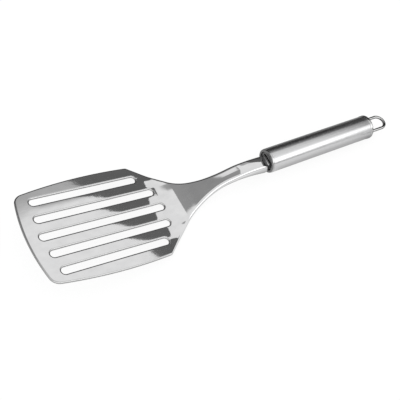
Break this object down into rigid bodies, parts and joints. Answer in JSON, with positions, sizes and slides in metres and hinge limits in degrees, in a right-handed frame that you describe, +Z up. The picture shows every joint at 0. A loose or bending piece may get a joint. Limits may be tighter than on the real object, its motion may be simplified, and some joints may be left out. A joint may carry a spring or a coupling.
{
  "type": "slotted turner",
  "caption": "All-steel slotted turner: flat bowed blade with long parallel slots, flanged rising neck, round tube handle with capped ends and a wire hanging loop.",
  "frame": {"origin": "on the table, under the middle of the box round the lying tool", "axes": "+X runs from the blade to the hanging loop, +Y across the tool, and +Z up from the table; the tool lies as it comes to rest, on the flanges where the neck starts to rise and on the rear cap's rim, with the blade's front edge raised"},
  "size_m": [0.3753, 0.0956, 0.0326],
  "materials": {
    "polished_sheet": "polished with a fine satin grain",
    "brushed_tube": "brushed round the tube",
    "pressed_cap": "turned, satin",
    "polished_wire": "polished",
    "weld_bead": "dull weld metal"
  },
  "bodies": {
    "root": {"blade": "polished_sheet", "front_cap": "pressed_cap", "handle_tube": "brushed_tube", "rear_cap": "pressed_cap", "hanging_loop": "polished_wire", "tang_weld": "weld_bead", "loop_weld": "weld_bead"}
  },
  "joints": []
}
